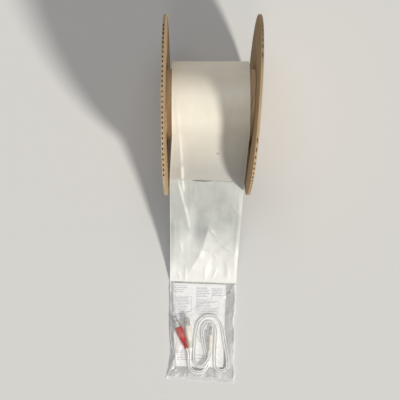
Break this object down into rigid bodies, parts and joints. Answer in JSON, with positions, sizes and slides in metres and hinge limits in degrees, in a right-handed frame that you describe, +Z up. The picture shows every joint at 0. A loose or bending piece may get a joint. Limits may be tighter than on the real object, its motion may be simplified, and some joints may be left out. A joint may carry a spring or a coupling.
{
  "type": "reel of pre-opened poly bags",
  "caption": "Cardboard reel of pre-opened poly bags: corrugated flanges on a paper core, film running off the roll to an empty bag and a filled bag.",
  "frame": {"origin": "centre of the core bore, level with the middle of the wound film", "axes": "+X along the core, towards the flange that sits out of square; the film leaves towards -Y; +Z up"},
  "size_m": [0.1332, 0.5122, 0.2413],
  "materials": {
    "kraft_liner": "brown kraft board",
    "kraft_fluting": "brown fluting paper",
    "core_paper": "spiral wound paper tube",
    "hot_melt": "set hot-melt glue",
    "tape": "packing tape",
    "wound_film": "milky film in many layers",
    "web_film": "milky film, satin",
    "bag_film": "milky film, satin",
    "clear_film": "clear film, glossy",
    "leaflet_paper": "white printing paper",
    "cord_white": "soft white cable sheath",
    "grip_red": "moulded red plastic",
    "grip_white": "moulded white plastic",
    "plug_metal": "nickel plate",
    "insulator": "moulded insulator",
    "spacer_black": "black insulating rings"
  },
  "bodies": {
    "reel": {"left_flange_outer_liner": "kraft_liner", "left_flange_fluting": "kraft_fluting", "left_flange_inner_liner": "kraft_liner", "right_flange_outer_liner": "kraft_liner", "right_flange_fluting": "kraft_fluting", "right_flange_inner_liner": "kraft_liner", "core_tube": "core_paper", "left_glue_dots": "hot_melt", "right_glue_dots": "hot_melt", "start_tape": "tape", "film_roll": "wound_film"},
    "web": {"outer_wrap": "web_film", "lead_film": "web_film"},
    "empty_bag": {"empty_bag_back": "bag_film", "empty_bag_front": "bag_film"},
    "bag_mouth": {"mouth_lip": "bag_film"},
    "filled_bag": {"filled_bag_back": "clear_film", "filled_bag_front": "clear_film", "bottom_seal": "clear_film", "leaflet": "leaflet_paper", "red_cord": "cord_white", "white_cord": "cord_white", "red_plug_grip": "grip_red", "red_plug_shell": "plug_metal", "red_plug_insulator": "insulator", "red_plug_pin": "plug_metal", "white_plug_grip": "grip_white", "white_plug_shell": "plug_metal", "white_plug_insulator": "insulator", "white_plug_pin": "plug_metal", "small_plug_grip": "grip_white", "small_plug_sleeve": "plug_metal", "small_plug_spacers": "spacer_black", "small_plug_ring": "plug_metal", "small_plug_tip": "plug_metal"}
  },
  "joints": [
    {"name": "reel_turn", "type": "hinge", "parent": "web", "child": "reel", "pos_m": [0, 0, 0], "axis": [1, 0, 0], "continuous": true},
    {"name": "first_perforation", "type": "hinge", "parent": "web", "child": "empty_bag", "pos_m": [-0.0046, -0.10053, -0.02247], "axis": [-0.9994, 0.0349, 0], "range_deg": [-45, 80], "stiffness_Nm_per_rad": 0.14, "springref_deg": -2.42},
    {"name": "mouth_crease", "type": "hinge", "parent": "empty_bag", "child": "bag_mouth", "pos_m": [-0.00522, -0.11828, -0.04006], "axis": [0.9994, -0.0349, 0], "range_deg": [0, 60]},
    {"name": "second_perforation", "type": "hinge", "parent": "empty_bag", "child": "filled_bag", "pos_m": [-0.00971, -0.24698, -0.12035], "axis": [-0.9994, 0.0349, 0], "range_deg": [-120, 90]}
  ]
}
